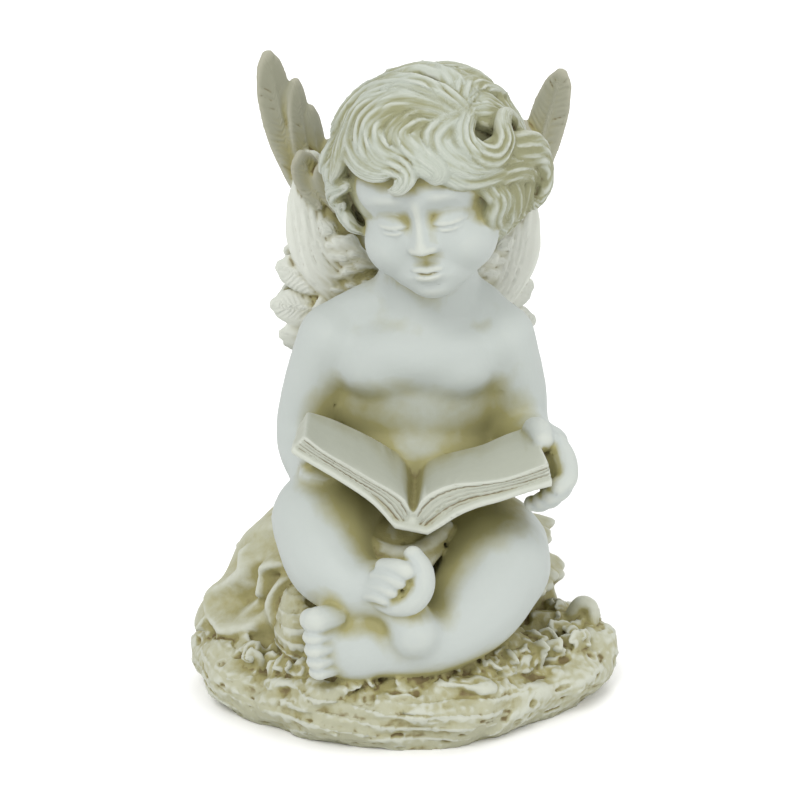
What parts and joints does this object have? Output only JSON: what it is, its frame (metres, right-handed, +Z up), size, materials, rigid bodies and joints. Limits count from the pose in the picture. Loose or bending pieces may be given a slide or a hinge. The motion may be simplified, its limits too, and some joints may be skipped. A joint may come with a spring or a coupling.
{
  "type": "cherub statue",
  "caption": "Stone statue of a winged child seated cross-legged on a rock base, reading an open book.",
  "frame": {"origin": "centre of the flat underside", "axes": "+Z up through the figure, -Y towards the viewer of the open face, +X to that viewer's right"},
  "size_m": [0.2105, 0.1828, 0.3112],
  "materials": {
    "stone": "matt cast stone, cool white with a warm antique wash in the hollows"
  },
  "bodies": {
    "root": {"cherub_statue": "stone"}
  },
  "joints": []
}
